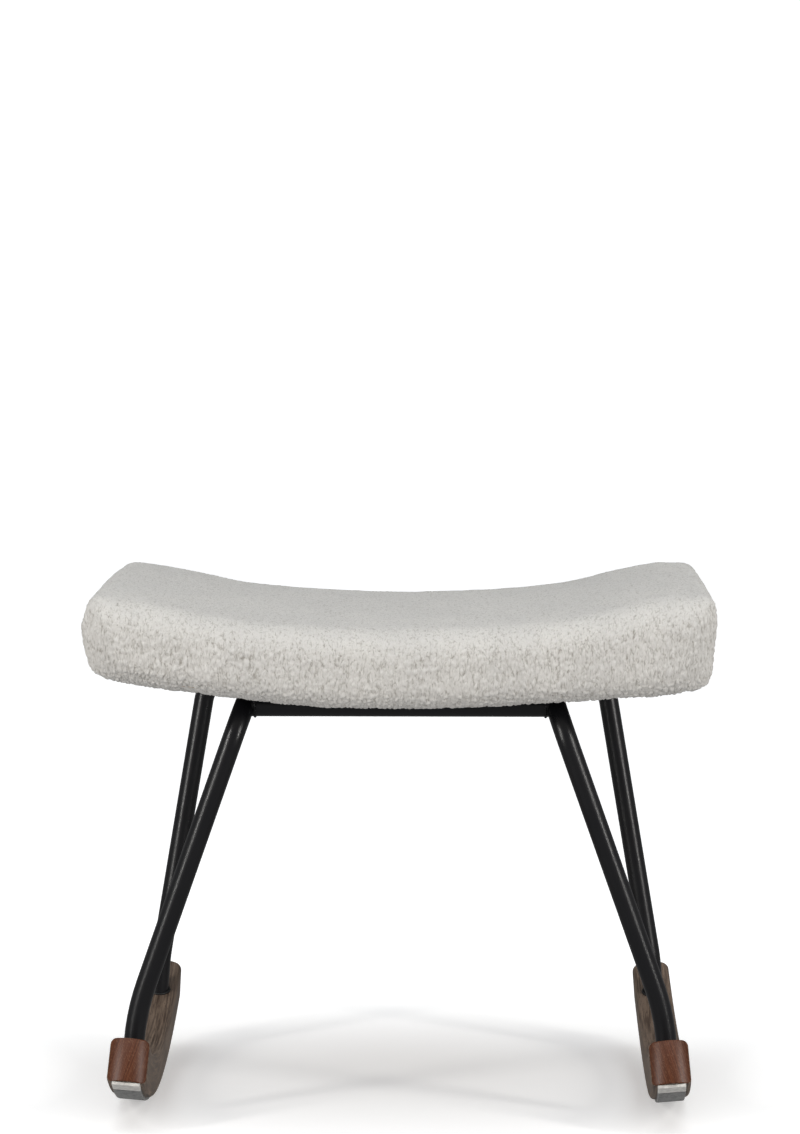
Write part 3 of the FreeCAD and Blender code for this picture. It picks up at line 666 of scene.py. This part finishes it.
def rounded_pad(point):
    """Where a point of the plain block goes on the pad's rounded form, still flat.

    The ends have tighter roundings than the front and the back.
    """
    away = Vector((abs(point.x) - PAD_HALF_WIDTH + PAD_CORNER, abs(point.y) - PAD_HALF_LENGTH + PAD_CORNER))
    if away.x > 0 and away.y > 0:
        away = Vector(quarter(away.x, away.y, PAD_CORNER))
        out = away.normalized()
        inset = PAD_CORNER - away.length
    else:
        out = Vector((1, 0)) if away.x >= away.y else Vector((0, 1))
        inset = PAD_CORNER - max(away)
    to_end = out.x ** 2
    top_round = PAD_TOP_ROUND - (PAD_TOP_ROUND - END_TOP_ROUND) * to_end
    low_round = PAD_LOW_ROUND - (PAD_LOW_ROUND - END_LOW_ROUND) * to_end
    z = point.z
    shift = 0.0
    for rounding, up in ((top_round, z - (SEAT_MIDDLE - top_round)), (low_round, low_round - z)):
        if inset < rounding and up > 0:
            across, raised = quarter(rounding - inset, up, rounding)
            shift = across - (rounding - inset)
            z += (raised - up) * (1 if z > SEAT_MIDDLE / 2 else -1)
    away += out * shift
    x = away.x + PAD_HALF_WIDTH - PAD_CORNER
    y = away.y + PAD_HALF_LENGTH - PAD_CORNER
    return Vector((math.copysign(x, point.x), math.copysign(y, point.y), z))


def pad_block():
    """The pad before it is bent: a block with rounded corners and edges."""
    nothing_picked()
    bpy.ops.mesh.primitive_cube_add(size=1, location=(0, 0, SEAT_MIDDLE / 2))
    block = bpy.context.object
    block.scale = (2 * PAD_HALF_WIDTH, 2 * PAD_HALF_LENGTH, SEAT_MIDDLE)
    bpy.ops.object.transform_apply(location=True, rotation=True, scale=True)
    even = block.modifiers.new("even", "REMESH")
    even.mode = "VOXEL"
    even.voxel_size = PAD_SPACING
    bpy.ops.object.modifier_apply(modifier="even")
    middle = Vector((0, 0, SEAT_MIDDLE / 2))
    half = Vector((PAD_HALF_WIDTH, PAD_HALF_LENGTH, SEAT_MIDDLE / 2))
    for vertex in block.data.vertices:
        # The even mesh cuts the block's edges off a little, so each point first goes out to its
        # nearest side.
        point = vertex.co - middle
        side = min(range(3), key=lambda axis: half[axis] - abs(point[axis]))
        point[side] = math.copysign(half[side], point[side])
        vertex.co = rounded_pad(point + middle)
    return block


def swell(pad):
    """Let the cover fill out under a little pressure, no point moving further than MOST_SWELL."""
    before = [v.co.copy() for v in pad.data.vertices]
    cloth = pad.modifiers.new("fill", "CLOTH")
    cloth.settings.quality = 4
    cloth.settings.mass = 0.3
    cloth.settings.tension_stiffness = 12
    cloth.settings.compression_stiffness = 12
    cloth.settings.bending_stiffness = 1.5
    cloth.settings.use_pressure = True
    cloth.settings.uniform_pressure_force = 4
    cloth.settings.effector_weights.gravity = 0
    cloth.point_cache.frame_start = 1
    cloth.point_cache.frame_end = SWELL_FRAMES
    scene = bpy.context.scene
    for moment in range(1, SWELL_FRAMES + 1):
        scene.frame_set(moment)
    only(pad)
    bpy.ops.object.modifier_apply(modifier="fill")
    scene.frame_set(1)
    for vertex, start in zip(pad.data.vertices, before):
        move = vertex.co - start
        if move.length > MOST_SWELL:
            vertex.co = start + move.normalized() * MOST_SWELL


def hang(co):
    """Give of the upholstery.

    The top is crowned and rises towards both ends, most at the right. The hem lies in a recess. The
    lower edge hangs a little, most at the right end, and both ends draw in towards the plywood.
    """
    low = 1 - ease(co.z, 0.004, 0.046)
    lift = min(1.0, max(0.0, co.z / SEAT_MIDDLE))
    rim = ease(abs(co.y), 0.165, 0.195)
    right = ease(co.x, 0.10, 0.245)
    front = ease(-co.y, -0.06, 0.12)
    end = ease(abs(co.x), 0.14, 0.22)
    horn = right * (1 - ease(co.x, 0.235, 0.26))
    inside = min(SEAT_WIDTH / 2 - HEM - abs(co.x), SEAT_LENGTH / 2 - HEM - abs(co.y))
    free = 1 - ease(inside, -0.026, -0.002)
    crown = (SEAT_MIDDLE - SEAT_EDGE - 0.002) * (co.y / PAD_HALF_LENGTH) ** 2
    z = co.z + lift * (0.0045 * end + 0.003 * horn - 0.0015 - crown)
    sag = 0.003 * rim * (1 - right) * (1 - ease(-co.x, 0.06, 0.16)) + 0.010 * right * front * free
    z -= low * sag
    if co.z < 0.02:
        z += 0.0075 * ease(inside, -0.003, 0.004)
    draw = 0.013 if co.x < 0 else 0.011
    tuck = low * draw * ease(abs(co.x), 0.20, 0.26)
    tuck += 0.003 * ease(co.x, 0.22, 0.27) * (1 - ease(co.z, 0.03, 0.062))
    tuck += 0.003 * ease(-co.x, 0.25, 0.276) * ease(co.z, 0.03, 0.05)
    return Vector((co.x - math.copysign(tuck, co.x), co.y, z))


def curl(pad):
    """Raise the pile in curls parted by narrow creases, and store the creases as an attribute that the
    finish darkens as painted shade.
    """
    note = pad.data.attributes.new("crease", "FLOAT", "POINT")
    places = [v.co.copy() for v in pad.data.vertices]
    outward = [v.normal.copy() for v in pad.data.vertices]
    for vertex, place, normal, shade_mark in zip(pad.data.vertices, places, outward, note.data):
        side = 1 - ease(normal.z, 0.3, 0.85)
        push = noise.noise_vector(place * 120) * 0.0022
        spot = place + push
        spot = Vector((spot.x, spot.y, spot.z * (1 - 0.5 * side))) / CURL
        near = noise.voronoi(spot)[0]
        crease = 1 - ease(near[1] - near[0], 0.0, 0.5)
        rise = noise.noise(place * 55) * 0.0006
        height = (0.0003 + 0.0005 * side) * (1 - 1.7 * crease)
        # How strongly the finish paints shade into this crease.
        shade_mark.value = crease * (0.4 + 0.6 * side)
        vertex.co = place + normal * (height + rise)


def make_pad():
    pad = pad_block()
    swell(pad)
    only(pad)
    fine = pad.modifiers.new("fine", "SUBSURF")
    fine.levels = 2
    fine.render_levels = 2
    bpy.ops.object.modifier_apply(modifier="fine")
    for vertex in pad.data.vertices:
        vertex.co = bent(hang(vertex.co))
    pad.data.update()
    curl(pad)
    only(pad)
    bpy.ops.object.shade_smooth()
    in_place(pad, "boucle_pad", CREAM, ["seat_cover", "seat_foam"])


make_pad()


# Under side: lining, and the solids that stay

def make_lining():
    """Lining stretched over the plywood's under side, a little wavy towards its edge."""
    width = SEAT_WIDTH - 2 * (HEM + LINING_INSET)
    length = SEAT_LENGTH - 2 * (HEM + LINING_INSET)
    nothing_picked()
    bpy.ops.mesh.primitive_grid_add(x_subdivisions=80, y_subdivisions=60, size=1)
    cloth = bpy.context.object
    cloth.scale = (width, length, 1)
    bpy.ops.object.transform_apply(location=True, rotation=True, scale=True)
    for vertex in cloth.data.vertices:
        co = vertex.co
        near = max(abs(co.x) - width / 2, abs(co.y) - length / 2) + 0.03
        ripple = 0.0006 * noise.noise(Vector((co.x * 18, co.y * 18, 0.3)))
        wave = 0.0004 * math.sin((co.x + co.y) * 140) * max(0.0, near / 0.03)
        radius = SHELL_RADIUS + LINING_DROP + ripple + wave
        angle = co.x / SHELL_RADIUS
        height = SHELL_HEIGHT + SHELL_RADIUS - radius * math.cos(angle)
        vertex.co = Vector((radius * math.sin(angle), co.y, height))
    only(cloth)
    bpy.ops.object.shade_smooth()
    in_place(cloth, "underside_lining", LINING, ["dust_cover"])


make_lining()

KEPT = {
    "seat_shell": PLY, "threaded_inserts": ZINC, "seat_screws": ZINC, "rocker_bolts": ZINC,
    "threaded_plugs": ZINC, "cover_staples": ZINC, "dust_cover_staples": ZINC,
}
for name, obj in nodes.items():
    finish = BLACK if name.startswith("seat_bracket") else KEPT.get(name)
    if finish is not None:
        obj.data.materials.clear()
        obj.data.materials.append(finish)


# Studio

BOX_AIM = (0, 0, 0.25)
BOX_SIZE = (0.34, 1.8)
WARM_WHITE = (1.0, 0.98, 0.95)
COOL_WHITE = (0.91, 0.96, 1.0)
ROOM_LIGHT = 0.20         # from the walls and the ceiling
FLOOR_LIGHT = 0.76        # back from the floor below
BACKDROP = 1.2            # what the camera sees past the floor


def soft_box(name, place, power):
    nothing_picked()
    bpy.ops.object.light_add(type="AREA", location=place)
    lamp = bpy.context.object
    lamp.name = name
    lamp.rotation_euler = (Vector(BOX_AIM) - Vector(place)).to_track_quat("-Z", "Y").to_euler()
    lamp.data.shape = "RECTANGLE"
    lamp.data.size, lamp.data.size_y = BOX_SIZE
    lamp.data.energy = power
    lamp.data.color = WARM_WHITE


def light_room():
    """Soft light from below, where a white floor gives it back, and little from all other sides."""
    world = bpy.context.scene.world or bpy.data.worlds.new("studio")
    bpy.context.scene.world = world
    world.use_nodes = True
    sky = Nodes(world.node_tree)
    backdrop = world.node_tree.nodes["Background"]
    height = sky.parts(sky.node("ShaderNodeTexCoord", output="Generated"))[2]
    glossy = sky.node("ShaderNodeLightPath", output="Is Glossy Ray")
    camera_ray = sky.node("ShaderNodeLightPath", output="Is Camera Ray")
    room = sky.node("ShaderNodeMapRange", inputs={"Value": height, "From Min": -0.95, "From Max": 0.02,
                                                  "To Min": FLOOR_LIGHT, "To Max": ROOM_LIGHT})
    mirrored = sky.node("ShaderNodeMix", inputs={"Factor": glossy, "A": room, "B": ROOM_LIGHT})
    seen = sky.node("ShaderNodeMix", inputs={"Factor": camera_ray, "A": mirrored, "B": BACKDROP})
    sky.feed(backdrop.inputs["Color"], (1, 1, 1))
    sky.feed(backdrop.inputs["Strength"], seen)


nothing_picked()
bpy.ops.mesh.primitive_plane_add(size=40)
floor = bpy.context.object
floor.data.transform(Matrix.Translation((0, 8, 0)))
floor.name = "pale_floor"
floor.data.materials.append(floor_finish())
floor.visible_glossy = False
floor.visible_diffuse = False

soft_box("left_box", (-1.9, -1.7, 1.0), 37)
soft_box("right_box", (2.1, -1.6, 1.1), 40)
nothing_picked()
bpy.ops.object.light_add(type="SUN", location=(0, 0, 3), rotation=(math.radians(13), 0, 0))
overhead = bpy.context.object
overhead.name = "overhead"
overhead.data.energy = 1.27
overhead.data.color = COOL_WHITE
overhead.data.angle = math.radians(60)

light_room()

scene = bpy.context.scene
scene.view_settings.view_transform = "Standard"
scene.view_settings.look = "None"

# A long lens, looking a little down and to the left.

PICTURE_HEIGHT = 1134
FOCAL_PIXELS = 4057.8
SENSOR_HEIGHT = 36
TILT_DOWN = math.radians(4.761)
TURN_LEFT = math.radians(1.128)
bpy.ops.object.camera_add(location=(0.06824, -3.60316, 0.77247),
                          rotation=(math.pi / 2 - TILT_DOWN, 0, TURN_LEFT))
camera = bpy.context.object
camera.data.sensor_fit = "VERTICAL"
camera.data.sensor_height = SENSOR_HEIGHT
camera.data.lens = FOCAL_PIXELS / PICTURE_HEIGHT * SENSOR_HEIGHT
camera.data.clip_end = 100
scene.camera = camera
